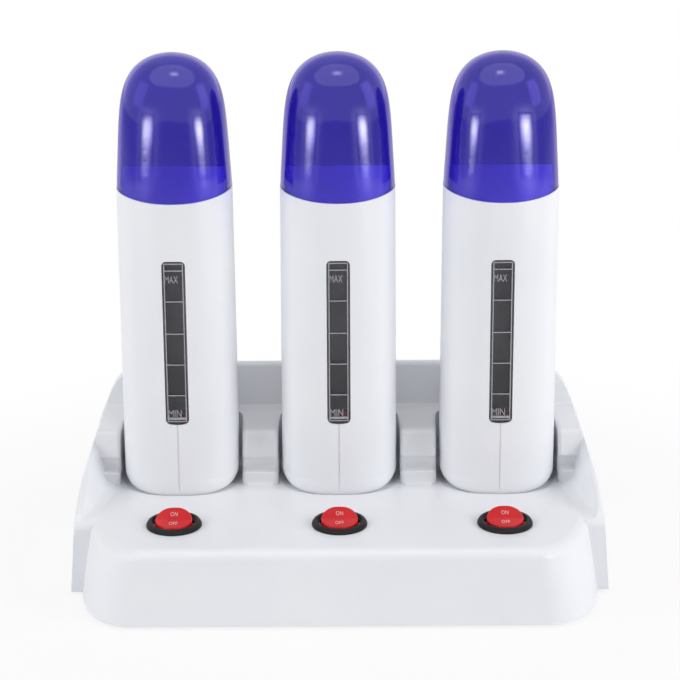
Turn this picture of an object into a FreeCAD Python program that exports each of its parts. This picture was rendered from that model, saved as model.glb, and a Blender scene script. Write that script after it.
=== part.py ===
import FreeCAD, Part
import math
import os

# Roll-on wax heater: a base stand with three hand-held heaters, each with its own switch.
# +Z is up, the front faces -Y, and the origin is at the middle of the footprint on the table.

V = FreeCAD.Vector
os.makedirs("parts", exist_ok=True)

# ---- driving dimensions, mm -------------------------------------------------------------
PITCH = 79.5          # from heater to heater
HEATER_Y = 25.0       # heater axes, behind the middle of the base
FRONT_Y = -73.5       # base front at the table
BACK_Y = 73.5         # base back at the table
SHELL_Z = 1.2         # lower edge of the top shell above the table
WALL = 2.6            # wall of the base shell
DECK_Z = 38.0
DECK_FRONT = -69.5    # front edge of the deck, before rounding
DECK_BACK = 10.5      # where the step to the saddles begins
EDGE_R = 5.0          # rounding of the deck's edge
SADDLE_Z = 64.0       # top of the saddles between the heaters
SOFT_R = 2.0          # rounding between the saddles and the pocket walls
BACK_WALL_Z = 86.0
FLOOR_Z = 37.2        # pocket floor
SWITCH_Y = -38.7      # switch centres

HEATER_Z = 37.3       # heater bottom in the dock
CASE_WALL = 2.2
FOOT_R = 8.0          # how far the casing curves in at its foot, seen from the front
FOOT_DEEP = 1.2       # the same, seen from the side
SEAT_Z = 148.9        # casing top at the front, above the heater bottom
SEAT_RISE = 3.9       # how much higher the casing top is at its sides
CAP_TOP = 218.0       # cap top above the heater bottom
CAP_WALL = 1.6
WINDOW = (37.3, 120.7)
WINDOW_W = 11.2
WINDOW_BOW = 0.18     # slope of the window's bowed lower edge
LEVELS = (116.2, 100.7, 84.4, 68.6, 52.8)    # the window's level lines
NECK = (25.5, 21.0, 19.5)      # outside of the neck at its foot: half width, front, back
NECK_TAPER = 1.3
CHAMBER = (23.5, 16.5, 12.0)   # outside of the chamber: half width, half depth, corner
CHAMBER_Z = (34.0, 138.0)
CHAMBER_WALL = 1.5
PIN_X = 7.0           # half the pin spacing of the dock

BEZEL_R = 13.35
WELL_R = 9.9
ROCKER_R = 8.8
ROCKER_V = 6.6        # slope of each half of the rocker, degrees
ROCKER_TILT = 13.4    # half the rocker's travel, degrees
ROCKER_TOP = 4.4      # where its two halves meet, above the pivot
ROCKER_LOW = -3.4     # its flat underside, above the pivot
ROCKER_TURN = 9.75    # its rim keeps within this distance of the pivot line
VALLEY_R = 6.0        # rounding where its two halves meet
PIVOT_DROP = 0.9      # rocker pivot below the deck
PIVOT_R = 1.5
PIVOT_HOLE = 1.56
PIVOT_REACH = 10.3    # half the length over both pivots
BLADE_Z = 14.0        # lower ends of the switch terminals
INLET_PIN_X = 4.2     # half the pin spacing of the mains inlet


# ---- drawing helpers --------------------------------------------------------------------
def box(x0, x1, y0, y1, z0, z1):
    return Part.makeBox(x1 - x0, y1 - y0, z1 - z0, V(x0, y0, z0))


def rod(r, start, end):
    axis = V(*end) - V(*start)
    return Part.makeCylinder(r, axis.Length, V(*start), axis)


def fuse(shapes):
    return shapes[0].multiFuse(shapes[1:]) if len(shapes) > 1 else shapes[0]


def corners(points, t):
    """Corners (u, v, radius) of a closed outline, moved inwards by t; runs anticlockwise."""
    result = []
    for k, (u, v, r) in enumerate(points):
        pu, pv, _ = points[k - 1]
        nu, nv, _ = points[(k + 1) % len(points)]
        a = math.atan2(v - pv, u - pu)
        b = math.atan2(nv - v, nu - u)
        turn = (b - a + math.pi) % (2 * math.pi) - math.pi
        mid = a + turn / 2
        reach = t / math.cos(turn / 2)
        radius = (max(r - t, 0.0) if turn > 0 else r + t) if r else 0.0
        result.append((u - reach * math.sin(mid), v + reach * math.cos(mid), radius, turn))
    return result


def outline(points, place, t=0.0):
    """Closed wire through rounded corners; place turns (u, v) into a point in space."""
    edges = []
    ring = corners(points, t)
    joins = []
    for k, (u, v, r, turn) in enumerate(ring):
        pu, pv = ring[k - 1][:2]
        nu, nv = ring[(k + 1) % len(ring)][:2]
        back = math.hypot(u - pu, v - pv)
        ahead = math.hypot(nu - u, nv - v)
        cut = r * math.tan(abs(turn) / 2)
        start = (u + (pu - u) * cut / back, v + (pv - v) * cut / back)
        end = (u + (nu - u) * cut / ahead, v + (nv - v) * cut / ahead)
        middle = None
        if r > 0.05:
            mu, mv = (start[0] + end[0]) / 2, (start[1] + end[1]) / 2
            half = math.hypot(mu - u, mv - v)
            sag = r / math.cos(abs(turn) / 2) - r
            middle = (u + (mu - u) * sag / half, v + (mv - v) * sag / half)
        joins.append((start, middle, end))
    for k, (start, middle, end) in enumerate(joins):
        if middle:
            edges.append(Part.Arc(place(*start), place(*middle), place(*end)).toShape())
        after = joins[(k + 1) % len(joins)][0]
        if math.hypot(after[0] - end[0], after[1] - end[1]) > 1e-6:
            edges.append(Part.LineSegment(place(*end), place(*after)).toShape())
    return Part.Wire(edges)


def prism_x(points, x0, x1, t=0.0):
    face = Part.Face(outline(points, lambda u, v: V(x0, u, v), t))
    return face.extrude(V(x1 - x0, 0, 0))


def prism_y(points, y0, y1, t=0.0):
    face = Part.Face(outline(points, lambda u, v: V(u, y0, v), t))
    return face.extrude(V(0, y1 - y0, 0))


def prism_z(points, z0, z1, t=0.0):
    face = Part.Face(outline(points, lambda u, v: V(u, v, z0), t))
    return face.extrude(V(0, 0, z1 - z0))


def rounded(half_w, y0, y1, r):
    return [(-half_w, y0, r), (half_w, y0, r), (half_w, y1, r), (-half_w, y1, r)]


def revolve(points, centre=V(0, 0, 0)):
    wire = Part.makePolygon([centre + V(r, 0, z) for r, z in points + points[:1]])
    return Part.Face(wire).revolve(centre, V(0, 0, 1), 360)


def tube(points, r):
    """A lead laid in straight runs."""
    shapes = [rod(r, a, b) for a, b in zip(points, points[1:])]
    shapes += [Part.makeSphere(r, V(*p)) for p in points[1:-1]]
    return fuse(shapes)


def save(node, shape):
    solids = shape.Solids
    shape = solids[0] if len(solids) == 1 else Part.makeCompound(solids)
    print(node, len(solids), shape.isValid(), round(shape.Volume / 1000, 2))
    shape.exportStep("parts/" + node + ".step")


# ---- base shell -------------------------------------------------------------------------
SIDE_PROFILE = [      # (y, z, radius), seen from the side: deck, step, saddle front, back wall
    (FRONT_Y, SHELL_Z, 0), (BACK_Y, SHELL_Z, 0), (72.9, 32.0, 60.0),
    (64.2, BACK_WALL_Z, 2.2), (58.8, BACK_WALL_Z, 2.2), (54.5, SADDLE_Z, 1.5),
    (19.5, SADDLE_Z, 3.6), (14.8, 51.5, 1.0), (16.6, 49.6, 0.8), (16.6, 45.4, 0.8),
    (11.3, 44.6, 1.0),
    (DECK_BACK, DECK_Z, 2.5), (FRONT_Y, DECK_Z, 0),
]
FRONT_PROFILE = [     # (x, z, radius), seen from the front: flared sides, rounded top corners
    (-131.0, SHELL_Z, 0), (131.0, SHELL_Z, 0), (127.0, 50.0, 40.0),
    (112.5, BACK_WALL_Z, 24.0), (-112.5, BACK_WALL_Z, 24.0), (-127.0, 50.0, 40.0),
]


def deck_outline(z, t):
    """Plan of the front part: straight front, large soft corners, sides that flare backwards."""
    k = (z - SHELL_Z) / (DECK_Z - SHELL_Z)

    def mix(low, high):
        return low + (high - low) * k
    front = mix(FRONT_Y, DECK_FRONT) + t
    side = V(mix(125.4, 121.2) - t, mix(-33.0, -23.4), z)
    start = V(mix(98.0, 94.0), front, z)
    ctrl1 = V(mix(114.5, 108.0) - t * 0.6, front, z)
    ctrl2 = V(mix(124.3, 118.6) - t, mix(-55.0, -45.0) + t * 0.4, z)
    rear = V(mix(126.0, 128.0) - t, 40.0, z)

    def mirrored(p):
        return V(-p.x, p.y, p.z)
    right, left = Part.BezierCurve(), Part.BezierCurve()
    right.setPoles([start, ctrl1, ctrl2, side])
    left.setPoles([mirrored(p) for p in (side, ctrl2, ctrl1, start)])
    line = Part.LineSegment
    return Part.Wire([
        line(mirrored(start), start).toShape(), right.toShape(),
        line(side, rear).toShape(), line(rear, mirrored(rear)).toShape(),
        line(mirrored(rear), mirrored(side)).toShape(), left.toShape()])


def deck_body(t):
    """Front part of the base, t inside its outer faces, with the rounded edge of the deck."""
    last = math.radians(84)
    turn = DECK_Z - EDGE_R * math.sin(last)
    r = EDGE_R - t
    edge = []
    for k in range(7):
        a = last * k / 6
        edge.append(deck_outline(turn + r * math.sin(a), t + r * (1 - math.cos(a))))
    wall = Part.makeLoft([deck_outline(SHELL_Z, t), deck_outline(turn, t)], True, True)
    return wall.fuse(Part.makeLoft(edge, True, False))


def cheeks():
    """Flanges along both sides, which grow upwards into the soft rims beside the deck."""
    crest = ((-36.0, 37.6, 120.5), (-29.0, 42.0, 118.5), (-20.0, 46.5, 116.0), (-9.0, 50.6, 114.0),
             (3.0, 54.2, 112.0), (14.0, 58.6, 110.5), (26.0, 65.0, 109.5))
    rings = []
    for y, z, foot in crest:
        deck = min(DECK_Z, z - 1.5)
        x = 130.0 - 0.0046 * max(z - 40.0, 0) ** 2 - 3.0 * z / 50.0
        curve = Part.BSplineCurve()
        curve.buildFromPoles([V(u, y, v) for u, v in (
            (foot - 6.0, deck - 1.6), (foot, deck + 0.2), (foot + (x - foot) * 0.55, deck + 0.6),
            (x - 3.5, z + 0.8), (x + 1.2, z + 0.2), (x + 4.0, z - 7.0))], False, 3)
        ends = [V(x + 4.0, y, z - 7.0), V(134.0, y, 20.0), V(134.0, y, SHELL_Z),
                V(foot - 6.0, y, SHELL_Z), V(foot - 6.0, y, deck - 1.6)]
        rings.append(Part.Wire([curve.toShape()] + Part.makePolygon(ends).Edges))
    right = Part.makeLoft(rings, True, False)
    right = right.common(prism_y(FRONT_PROFILE, -40.0, 25.0))
    end = [(-35.0, 0, 0), (30.0, 0, 0), (30.0, 76.0, 0), (-20.0, 47.8, 0), (-35.0, 38.4, 9.0)]
    right = right.common(prism_x(end, 90, 140))
    return right.fuse(right.mirror(V(0, 0, 0), V(1, 0, 0)))


def plan_corners(t):
    """Plan limit that rounds the two rear corners of the base."""
    x = 131.5 - t
    return prism_z([(-x, -90, 0), (x, -90, 0), (x, BACK_Y - t, 20.0), (-x, BACK_Y - t, 20.0)],
                   -10, 120)


def base_outside():
    rear = prism_y(FRONT_PROFILE, 7.5, BACK_Y + 1).common(prism_x(SIDE_PROFILE, -140, 140))
    return deck_body(0).fuse(rear.common(plan_corners(0))).fuse(cheeks())


def base_inside(t):
    """Hollow of the base, open at the bottom, t inside the outer faces."""
    low = -6.0
    profile = prism_x(SIDE_PROFILE, -140, 140, t)
    profile = profile.fuse(box(-140, 140, FRONT_Y + t, BACK_Y - t, low, SHELL_Z + t + 0.1))
    flat = Part.Face(deck_outline(SHELL_Z, t)).extrude(V(0, 0, low - SHELL_Z))
    front = deck_body(t).fuse(flat)
    x = 131.0 - t
    rear = prism_y(FRONT_PROFILE, 7.5 + t, BACK_Y + 1, t)
    rear = rear.fuse(box(-x, x, 7.5 + t, BACK_Y, low, SHELL_Z + t + 0.1))
    rear = rear.common(profile).common(plan_corners(t)).common(box(-140, 140, -90, 90, low, 80.0))
    under = prism_x([(-35.0 + t, low, 0), (20.0, low, 0), (20.0, 35.0, 0), (-22.0, 35.0, 0),
                     (-35.0 + t, 28.0, 0)], -140, 140)
    under = under.common(prism_y(FRONT_PROFILE, -40, 30, t).fuse(box(-x, x, -40, 30, low, 5)))
    return fuse([front, rear, under])


def heater_size(z):
    """Half width, front depth and back depth of the casing at height z above its bottom."""
    k = z / 151.0
    return 29.0 - 0.9 * k, 27.0 - 3.5 * k, 24.0 - 2.0 * k


def heater_section(z, t=0.0):
    half, front, back = heater_size(z)
    return flat_oval(half - t, front - t, back - t, z, 2.5)


def flat_oval(half, front, back, z, power, count=32):
    points = []
    for k in range(count):
        a = 2 * math.pi * k / count
        c, s = math.cos(a), math.sin(a)
        x = half * math.copysign(abs(c) ** (2 / power), c)
        y = (front if s < 0 else back) * math.copysign(abs(s) ** (2 / power), s)
        points.append(V(x, y, z))
    curve = Part.BSplineCurve()
    curve.interpolate(points, PeriodicFlag=True)
    return Part.Wire(curve.toShape())


def pocket_half(y, z):
    """Half the width between a pocket's side walls, which lean outwards and open forwards."""
    return 29.8 + 0.015 * (z - DECK_Z) + 0.033 * (39.5 - y)


def pocket(x, t=0.0):
    """Room for one heater, grown by t; it follows the heater at the foot and widens upwards."""
    rings = []
    for z in (DECK_Z - t, 90.0):
        front, back = pocket_half(-4.0, z) + t, pocket_half(27.5 + HEATER_Y, z) + t
        plan = [(-front, -4.0 - HEATER_Y, 0), (front, -4.0 - HEATER_Y, 0),
                (back, 27.5 + t, 13.0 + t), (-back, 27.5 + t, 13.0 + t)]
        rings.append(outline(plan, lambda u, v: V(u + x, v + HEATER_Y, z)))
    room = Part.makeLoft(rings, True, True)
    room = room.common(box(-140, 140, 7.0 - t, 80, DECK_Z - t, 90))
    foot = Part.Face(heater_section(0, -1.0 - t)).extrude(V(0, 0, 12))
    foot.translate(V(x, HEATER_Y, FLOOR_Z - t))
    return room.fuse(foot)


def saddle_edge(x, side):
    """What the soft edge of a saddle beside a pocket takes off; it fades out at the back."""
    def spot(gone, depth, y, z):
        if z > 60.0 and y > 19.5:
            z += max(gone, 0.0) * (y - 19.5) / 24.0
        return V(x + side * (pocket_half(y, z) + depth), y, z)

    face = [(DECK_BACK, 30.0, 0), (52.0, 30.0, 0), (52.0, SADDLE_Z, 0), (19.5, SADDLE_Z, 3.6),
            (14.8, 51.5, 0), (16.6, 49.6, 0), (16.6, 45.4, 0), (11.3, 44.6, 0),
            (DECK_BACK, DECK_Z, 0)]
    steps = [(SOFT_R, -0.5)]
    for k in range(6):
        turn = math.radians(15 * k)
        steps.append((SOFT_R * (1 - math.sin(turn)), SOFT_R * (1 - math.cos(turn))))
    steps.append((-0.1, SOFT_R + 0.3))
    rings = [outline(face, lambda u, v: spot(gone, depth, u, v), gone) for gone, depth in steps]
    ends = [Part.makePolygon([spot(0, depth, y, z) for y, z in (
        (8.0, DECK_Z), (46.0, DECK_Z), (46.0, 66.0), (8.0, 66.0), (8.0, DECK_Z))])
        for depth in (-0.5, SOFT_R + 0.3)]
    return Part.makeLoft(ends, True, True).cut(Part.makeLoft(rings, True, True))


HEATER_X = [-PITCH, 0.0, PITCH]
BOSSES = [(-98, -48), (98, -48), (-PITCH / 2, 40), (PITCH / 2, 40), (-120, 45), (120, 45)]
INLET = (0.0, 19.0)   # mains inlet centre: x and z

shell = base_outside().cut(fuse([pocket(x) for x in HEATER_X]))
for x in HEATER_X:
    for side in (-1, 1):
        shell = shell.cut(saddle_edge(x, side))
room = base_inside(WALL).cut(fuse([pocket(x, WALL) for x in HEATER_X]))
shell = shell.cut(room)
core = base_inside(1.0)
posts = [rod(4.0, (bx, by, 5.0), (bx, by, 80)).common(core) for bx, by in BOSSES]
shell = fuse([shell] + posts)
shell = shell.cut(fuse([rod(1.5, (bx, by, 4), (bx, by, 18)) for bx, by in BOSSES]))


# ---- switches ---------------------------------------------------------------------------
def switch_at(x):
    return V(x, SWITCH_Y, DECK_Z)


def bezel_filled(x):
    c = switch_at(x)
    ring = [(0, -0.6), (BEZEL_R, -0.6), (BEZEL_R, 0.7), (12.6, 1.9), (11.6, 2.25), (0, 2.25)]
    return revolve(ring, c).fuse(Part.makeCylinder(12.0, 19, c - V(0, 0, 18.5)))


def pivot_at(x):
    return switch_at(x) - V(0, 0, PIVOT_DROP)


def switch_body(x):
    c = switch_at(x)
    body = bezel_filled(x)
    well = [(0, -7.2), (WELL_R, -7.2), (WELL_R, 1.0), (10.6, 1.5), (10.8, 2.3), (0, 2.3)]
    body = body.cut(revolve(well, c))
    p = pivot_at(x)
    hole = PIVOT_REACH + 0.3
    body = body.cut(rod(PIVOT_HOLE, (x - hole, p.y, p.z), (x + hole, p.y, p.z)))
    trim = box(x - 12.5, x + 12.5, SWITCH_Y - 9.5, SWITCH_Y + 9.5, c.z - 30, c.z - 9.5)
    keep = trim.fuse(box(x - 14, x + 14, SWITCH_Y - 14, SWITCH_Y + 14, c.z - 9.5, c.z + 4))
    return body.common(keep)


def rocker(x):
    """Two red faces that meet in a shallow valley; drawn level, then tipped to its OFF side."""
    p = pivot_at(x)
    rise = math.tan(math.radians(ROCKER_V))
    reach = 10.0
    top = ROCKER_TOP
    side = [(-reach, ROCKER_LOW, 0), (reach, ROCKER_LOW, 0), (reach, top + reach * rise, 0),
            (0, top, VALLEY_R), (-reach, top + reach * rise, 0)]
    body = prism_x(side, -12, 12).common(Part.makeCylinder(ROCKER_R, 20, V(0, 0, -8)))
    body = body.common(rod(ROCKER_TURN, (-12, 0, 0), (12, 0, 0)))
    body = body.fuse(rod(PIVOT_R, (-PIVOT_REACH, 0, 0), (PIVOT_REACH, 0, 0)))
    body.rotate(V(0, 0, 0), V(1, 0, 0), ROCKER_TILT)
    body.translate(p)
    return body


# ---- base fittings ----------------------------------------------------------------------
def inlet_filled():
    x, z = INLET
    flange = prism_y(rounded(13.0, z - 8.5, z + 8.5, 3.0), 71.2, 73.4)
    core = prism_y(rounded(10.6, z - 6.6, z + 6.6, 2.0), 56.0, 71.2)
    return flange.fuse(core)


def inlet_rods(r, y0, y1):
    """Two rods along y, one for each pole of the inlet."""
    x, z = INLET
    return [rod(r, (x + s * INLET_PIN_X, y0, z), (x + s * INLET_PIN_X, y1, z)) for s in (-1, 1)]


def inlet_housing():
    x, z = INLET
    flat = box(x - INLET_PIN_X, x + INLET_PIN_X, 60.0, 74.0, z - 4.0, z + 4.0)
    socket = fuse(inlet_rods(4.3, 60.0, 74.0) + [flat])
    return inlet_filled().cut(socket).cut(fuse(inlet_rods(1.2, 50.0, 62.0)))


def inlet_pins():
    return fuse(inlet_rods(1.2, 51.5, 69.0))


def dock_block(x):
    y = HEATER_Y
    body = prism_z(rounded(12.5, y - 7.5, y + 7.5, 2.0), 30.0, FLOOR_Z - 0.1)
    foot = prism_z(rounded(15.5, y - 10, y + 10, 2.0), 30.0, FLOOR_Z - WALL)
    for shape in (body, foot):
        shape.translate(V(x, 0, 0))
    pins = fuse([rod(1.5, (x + s * PIN_X, y, 25), (x + s * PIN_X, y, 50)) for s in (-1, 1)])
    return body.fuse(foot).cut(pins)


def dock_pins(x):
    pins = []
    for s in (-1, 1):
        px = x + s * PIN_X
        pin = rod(1.5, (px, HEATER_Y, 26.0), (px, HEATER_Y, 45.0))
        tip = Part.makeCone(1.5, 0.7, 1.0, V(px, HEATER_Y, 45.0))
        pins.append(pin.fuse(tip))
    return pins


shell = shell.cut(fuse([bezel_filled(x) for x in HEATER_X]))
shell = shell.cut(fuse([box(x - 12.6, x + 12.6, HEATER_Y - 7.6, HEATER_Y + 7.6, 30, FLOOR_Z + 0.1)
                        for x in HEATER_X]))
shell = shell.cut(inlet_filled())
save("base_top_shell", shell)

plate = base_inside(WALL + 0.3).common(box(-140, 140, -80, 80, 1.9, 4.4))
plate = plate.cut(fuse([rod(1.8, (bx, by, 0), (bx, by, 6)) for bx, by in BOSSES]))
slots = [box(x + dx - 1.5, x + dx + 1.5, -14, 10, 0, 6)
         for x in HEATER_X for dx in (-18, -12, -6, 0, 6, 12, 18)]
plate = plate.cut(fuse(slots))
save("base_bottom_plate", plate)

feet = []
for fx, fy in ((-108, -38), (108, -38), (-104, 52), (104, 52)):
    foot = revolve([(0, 0), (7.0, 0), (8.0, 1.0), (8.0, 1.9), (0, 1.9)], V(fx, fy, 0))
    feet.append(foot)
save("base_feet", Part.makeCompound(feet))

screws = []
for bx, by in BOSSES:
    head = revolve([(0, 0.5), (2.6, 0.5), (3.0, 0.9), (3.0, 1.9), (0, 1.9)], V(bx, by, 0))
    cross = fuse([box(bx - 1.6, bx + 1.6, by - 0.3, by + 0.3, 0, 1.2),
                  box(bx - 0.3, bx + 0.3, by - 1.6, by + 1.6, 0, 1.2)])
    screws.append(head.cut(cross).fuse(rod(1.45, (bx, by, 1.9), (bx, by, 16))))
save("base_screws", Part.makeCompound(screws))

save("base_inlet_housing", inlet_housing())
save("base_inlet_pins", inlet_pins())

block = prism_z(rounded(17.0, 26.0, 38.0, 1.5), 4.4, 15.0)
block = block.cut(fuse([rod(2.0, (x, 32, 8), (x, 32, 16)) for x in (-12, -4, 4, 12)]))
save("base_terminal_block", block)

leads = []
for s in (-1, 1):
    leads.append(tube([(s * INLET_PIN_X, 51.5, INLET[1]), (s * INLET_PIN_X, 49.0, INLET[1]),
                       (s * INLET_PIN_X, 41.0, 10.0), (s * INLET_PIN_X, 38.0, 10.0)], 1.0))
for x in HEATER_X:
    side = 0 if x == 0 else math.copysign(1, x)
    start = 4.0 * side if side else 12.0
    leads.append(tube([(start, 26.0, 9.0), (start, 22.0, 9.0), (x + 5.0 * (side or 1), -20.0, 8.0),
                       (x + 5.0, SWITCH_Y, 10.0), (x + 5.0, SWITCH_Y, BLADE_Z)], 1.0))
    leads.append(tube([(x - 5.0, SWITCH_Y, BLADE_Z), (x - 5.0, SWITCH_Y, 11.0),
                       (x - 5.0, SWITCH_Y + 8, 9.0),
                       (x - PIN_X, HEATER_Y - 14, 14.0), (x - PIN_X, HEATER_Y, 20.0),
                       (x - PIN_X, HEATER_Y, 26.0)], 1.0))
save("base_wires", Part.makeCompound(leads))

blades = []
for n, x in enumerate(HEATER_X, 1):
    save("dock_block_%d" % n, dock_block(x))
    save("switch_body_%d" % n, switch_body(x))
    save("switch_rocker_%d" % n, rocker(x))
    for s in (-1, 1):
        c = switch_at(x)
        blades.append(box(x + s * 5 - 0.4, x + s * 5 + 0.4, c.y - 2.4, c.y + 2.4,
                          BLADE_Z, c.z - 18.5))
save("switch_terminals", Part.makeCompound(blades))
save("dock_pins", Part.makeCompound([p for x in HEATER_X for p in dock_pins(x)]))


# ---- heater -----------------------------------------------------------------------------
def heater_body(t, z0, z1):
    return Part.makeLoft([heater_section(z0, t), heater_section(z1, t)], True, True)


def heater_outside():
    """Casing blank: the foot curves in, most of all at the sides, and is squarer in plan."""
    rings = []
    for k in range(8):
        a = math.pi / 2 * k / 7
        inwards = 1 - math.sin(a)
        z = FOOT_R * (1 - math.cos(a))
        half, front, back = heater_size(z)
        rings.append(flat_oval(half - FOOT_R * inwards, front - FOOT_DEEP * inwards,
                               back - FOOT_DEEP * inwards, z, 2.5 + 0.7 * (1 - z / FOOT_R)))
    return Part.makeLoft(rings, True, False).fuse(heater_body(0, FOOT_R, 158))


def seat(gap=0.0):
    """Everything above the curved line where cap and casing meet."""
    r = 28.1 ** 2 / (2 * SEAT_RISE)
    return rod(r - gap, (0, -60, SEAT_Z + r), (0, 60, SEAT_Z + r))


def window_prism(grow, y1=-8.0):
    """Column with the rounded outline of the window, running back from the front."""
    w = WINDOW_W / 2 + grow
    z0, z1 = WINDOW[0] - grow, WINDOW[1] + grow
    side = z0 + WINDOW_BOW * w
    low, high = 2.4 + grow, 2.2 + grow
    shape = [(0, z0, 16.0), (w, side, low), (w, z1, high), (-w, z1, high), (-w, side, low)]
    return prism_y(shape, -40.0, y1)


def casing():
    solid = heater_outside()
    room = heater_body(CASE_WALL, 2.6, 160)
    foot = prism_y([(-30, 2.6, 9.0), (30, 2.6, 9.0), (30, 170, 0), (-30, 170, 0)], -40, 40)
    solid = solid.cut(room.common(foot))
    solid = solid.cut(seat())
    solid = solid.cut(window_prism(0.12))
    solid = solid.cut(prism_z(rounded(12.1, -6.6, 6.6, 1.5), -1, 4))
    return solid


SCREW = (-22.0, 11.0, 22.0)     # casing screw, under its head


def casing_half(side):
    """One half of the casing, side -1 or 1, with its screw post and a parting groove."""
    keep = box(-40, 0, -40, 40, -5, 170) if side < 0 else box(0, 40, -40, 40, -5, 170)
    half = casing().common(keep)
    skin = heater_body(1.0, -1, 165)
    x, y, z = SCREW
    r = 4.0 if side < 0 else 3.2
    half = half.fuse(rod(r, (0, y, z), (side * 34, y, z)).common(skin))
    half = half.cut(rod(1.25, (-40, y, z), (12, y, z)))
    if side < 0:
        half = half.cut(rod(2.9, (-40, y, z), (x, y, z)))
    groove = box(-0.22, 0.22, -40, 40, -1, WINDOW[0]).fuse(box(-0.22, 0.22, 0, 40, -1, 170))
    return half.cut(groove.cut(heater_body(0.45, -5, 175)))


def window():
    """Clear pane with a flange behind the wall, a raised frame and five level lines."""
    pane = window_prism(0).common(heater_body(0.6, 20, 140)).cut(heater_body(3.4, 15, 145))
    flange = window_prism(1.6).common(heater_body(CASE_WALL + 0.02, 20, 140))
    flange = flange.cut(heater_body(3.4, 15, 145))
    relief = heater_body(0.15, 20, 140).cut(heater_body(0.9, 15, 145))
    frame = window_prism(-0.5).cut(window_prism(-1.5)).common(relief)
    lines = [box(-4.6, 4.6, -40, -8, z - 0.35, z + 0.35).common(relief)
             for z in LEVELS]
    return fuse([pane, flange, frame] + lines)


def chamber():
    w, d, r = CHAMBER
    low, high = CHAMBER_Z
    cup = prism_z(rounded(w, -d, d, r), low, high)
    t = CHAMBER_WALL
    cup = cup.cut(prism_z(rounded(w - t, -d + t, d - t, r - t), low + 2, high + 1))
    slot = [(-4.6, 40.0, 4.0), (4.6, 40.0, 4.0), (4.6, 118.0, 2.0), (-4.6, 118.0, 2.0)]
    return cup.cut(prism_y(slot, -30, 0))


def neck():
    """Ring that holds the cartridge; it stands inside the cap and is cut on a slant."""
    half, front, back = NECK
    low = CHAMBER_Z[1]
    wide = heater_body(CASE_WALL, low, SEAT_Z - 0.6)
    slim = [flat_oval(half - t, front - t, back - t, z, 2.5)
            for z, t in ((SEAT_Z - 0.6, 0), (172.0, NECK_TAPER))]
    ring = wide.fuse(Part.makeLoft(slim, True, True))
    mouth = prism_z(rounded(22.3, -15.3, 15.3, 10.8), low - 1, 175)
    ring = ring.cut(mouth)
    slant = [(-40, 172.2, 0), (40, 151.8, 0), (40, 200, 0), (-40, 200, 0)]
    return ring.cut(prism_x(slant, -40, 40))


def cap_solid(t, base, top):
    """Tall dome; the plan is a flattened oval that shrinks quickly near the top."""
    edge = SEAT_Z + SEAT_RISE
    rings = []
    steps = 10
    for k in range(steps):
        z = base + (top - base) * math.sin(math.pi / 2 * k / steps)
        h = max(z - edge, 0.0) / (top - edge)
        f = math.sqrt(max(1 - h ** 6.5, 0))
        drop = 0.057 * (z - edge)
        rings.append(flat_oval((28.0 - drop - t) * f, (23.4 - drop - t) * f,
                               (21.9 - drop - t) * f, z, 2.5 - 0.4 * h))
    rings.append(Part.Vertex(V(0, 0, top)))
    return Part.makeLoft(rings, True, False)


def cap():
    outside = cap_solid(0, SEAT_Z - 5, CAP_TOP)
    inside = cap_solid(CAP_WALL, SEAT_Z - 8, CAP_TOP - CAP_WALL)
    return outside.cut(inside).common(seat(0.2))


def socket():
    core = prism_z(rounded(12.0, -6.5, 6.5, 1.5), 0.4, 13.0)
    lip = prism_z(rounded(13.5, -8.0, 8.0, 2.0), 2.6, 5.0)
    core = core.fuse(lip)
    for s in (-1, 1):
        core = core.cut(rod(1.9, (s * PIN_X, 0, -1), (s * PIN_X, 0, 3)))
        core = core.cut(rod(2.3, (s * PIN_X, 0, 2.5), (s * PIN_X, 0, 11.5)))
        core = core.cut(rod(0.8, (s * PIN_X, 0, 11), (s * PIN_X, 0, 14)))
    return core


def sleeves():
    parts = []
    for s in (-1, 1):
        sleeve = rod(2.3, (s * PIN_X, 0, 2.5), (s * PIN_X, 0, 11.5))
        sleeve = sleeve.cut(rod(1.65, (s * PIN_X, 0, 2), (s * PIN_X, 0, 9.5)))
        parts.append(sleeve.fuse(rod(0.8, (s * PIN_X, 0, 11.5), (s * PIN_X, 0, 16.0))))
    return Part.makeCompound(parts)


def heater_screw():
    x, y, z = SCREW
    head = rod(2.5, (x - 2.0, y, z), (x, y, z))
    head = head.cut(box(x - 3, x - 1.2, y - 0.3, y + 0.3, z - 1.7, z + 1.7))
    head = head.cut(box(x - 3, x - 1.2, y - 1.7, y + 1.7, z - 0.3, z + 0.3))
    return head.fuse(rod(1.2, (x, y, z), (11.0, y, z)))


def heater_wires():
    back = CHAMBER[1] + 1.2
    return Part.makeCompound([
        tube([(s * PIN_X, 0, 16.0), (s * PIN_X, 0, 17.5), (s * 9.0, 0, 19.5), (s * 9.0, 0, 27.5),
              (s * 8.6, back, 31.5), (s * 8.6, back, 49.0)], 0.8) for s in (-1, 1)])


depth = CHAMBER[1]
PIECES = {
    "casing_left": casing_half(-1),
    "casing_right": casing_half(1),
    "window": window(),
    "neck": neck(),
    "chamber": chamber(),
    "heating_plate": box(-10, 10, depth, depth + 2.4, 49.0, 114.0),
    "thermostat": rod(7.0, (0, 4, 28.5), (0, 4, 34.0)).fuse(rod(5.0, (0, 4, 26), (0, 4, 28.5))),
    "lamp": rod(2.2, (3.0, -22.0, 39.2), (3.0, -18.0, 39.2)).fuse(
        rod(2.8, (3.0, -18.0, 39.2), (3.0, -depth, 39.2))),
    "socket": socket(),
    "socket_sleeves": sleeves(),
    "screw": heater_screw(),
    "wires": heater_wires(),
    "cap": cap(),
}

for n, x in enumerate(HEATER_X, 1):
    for name, shape in PIECES.items():
        placed = shape.copy()
        placed.translate(V(x, HEATER_Y, HEATER_Z))
        save("heater_%d_%s" % (n, name), placed)
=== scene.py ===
import bmesh
import bpy
import math
from bpy.props import FloatProperty, PointerProperty, StringProperty
from mathutils import Matrix, Vector


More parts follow.
